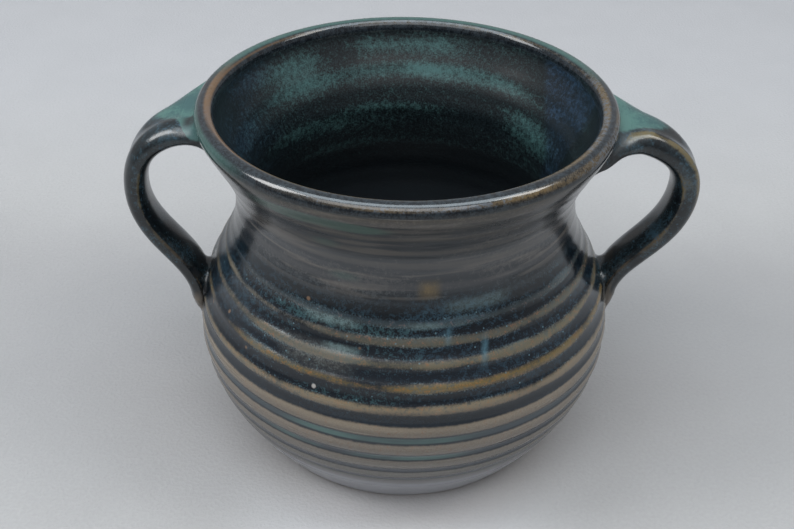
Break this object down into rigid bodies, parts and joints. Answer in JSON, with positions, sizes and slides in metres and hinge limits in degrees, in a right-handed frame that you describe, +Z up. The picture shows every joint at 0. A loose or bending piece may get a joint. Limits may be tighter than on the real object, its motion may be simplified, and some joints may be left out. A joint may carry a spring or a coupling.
{
  "type": "two-handled vase",
  "caption": "Squat wheel-thrown vase with a round ridged belly, drawn-in neck, flared open mouth and a looped strap handle on each side.",
  "frame": {"origin": "middle of the foot, on the surface that the vase stands on, on the pot's own axis", "axes": "+Z up along the pot's axis; the handles lie along X, left one at -X; the front in the picture is -Y"},
  "size_m": [0.1564, 0.1191, 0.104],
  "materials": {
    "pot_glaze": "semi-gloss charcoal and teal stoneware glaze, breaking to tan on the throwing ridges",
    "handle_glaze": "the same glaze, glossy and darker, teal where the strap fans out under the lip"
  },
  "bodies": {
    "root": {"pot_body": "pot_glaze", "handle_left": "handle_glaze", "handle_right": "handle_glaze"}
  },
  "joints": []
}
